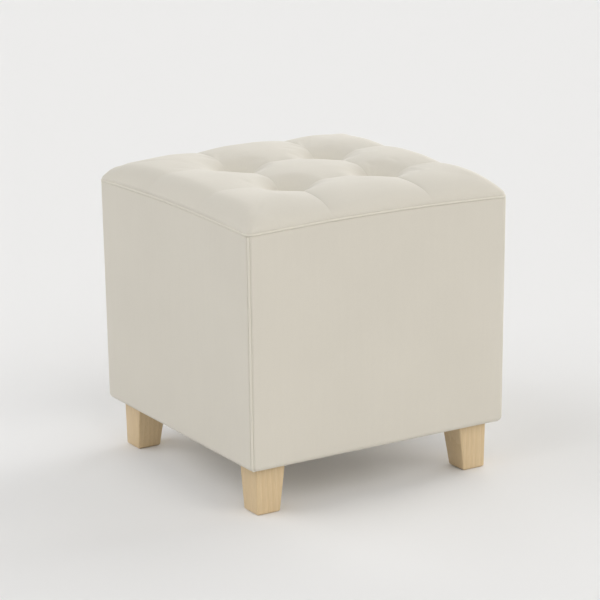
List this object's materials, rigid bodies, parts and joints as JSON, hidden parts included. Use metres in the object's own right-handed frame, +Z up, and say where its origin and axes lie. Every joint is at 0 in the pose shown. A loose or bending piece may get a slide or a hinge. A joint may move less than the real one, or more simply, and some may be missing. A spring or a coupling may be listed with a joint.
{
  "type": "cube pouf stool",
  "caption": "Square upholstered footstool with a blind-tufted cushion top, thin welts on its seams and short tapered wood legs.",
  "frame": {"origin": "on the floor, under the middle of the square body", "axes": "+Z up through the middle of the stool, +X and +Y square to two neighbouring sides, -Y towards the front side"},
  "size_m": [0.4022, 0.4022, 0.4108],
  "materials": {
    "cream_fabric": "matte",
    "cream_welt": "matte",
    "under_cloth": "matte",
    "pale_wood": "satin"
  },
  "bodies": {
    "root": {"top_cushion": "cream_fabric", "top_welt": "cream_welt", "panel_front": "cream_fabric", "panel_right": "cream_fabric", "panel_back": "cream_fabric", "panel_left": "cream_fabric", "corner_welt_front_left": "cream_welt", "corner_welt_front_right": "cream_welt", "corner_welt_back_right": "cream_welt", "corner_welt_back_left": "cream_welt", "base_panel": "under_cloth", "leg_front_left": "pale_wood", "leg_front_right": "pale_wood", "leg_back_right": "pale_wood", "leg_back_left": "pale_wood"}
  },
  "joints": []
}
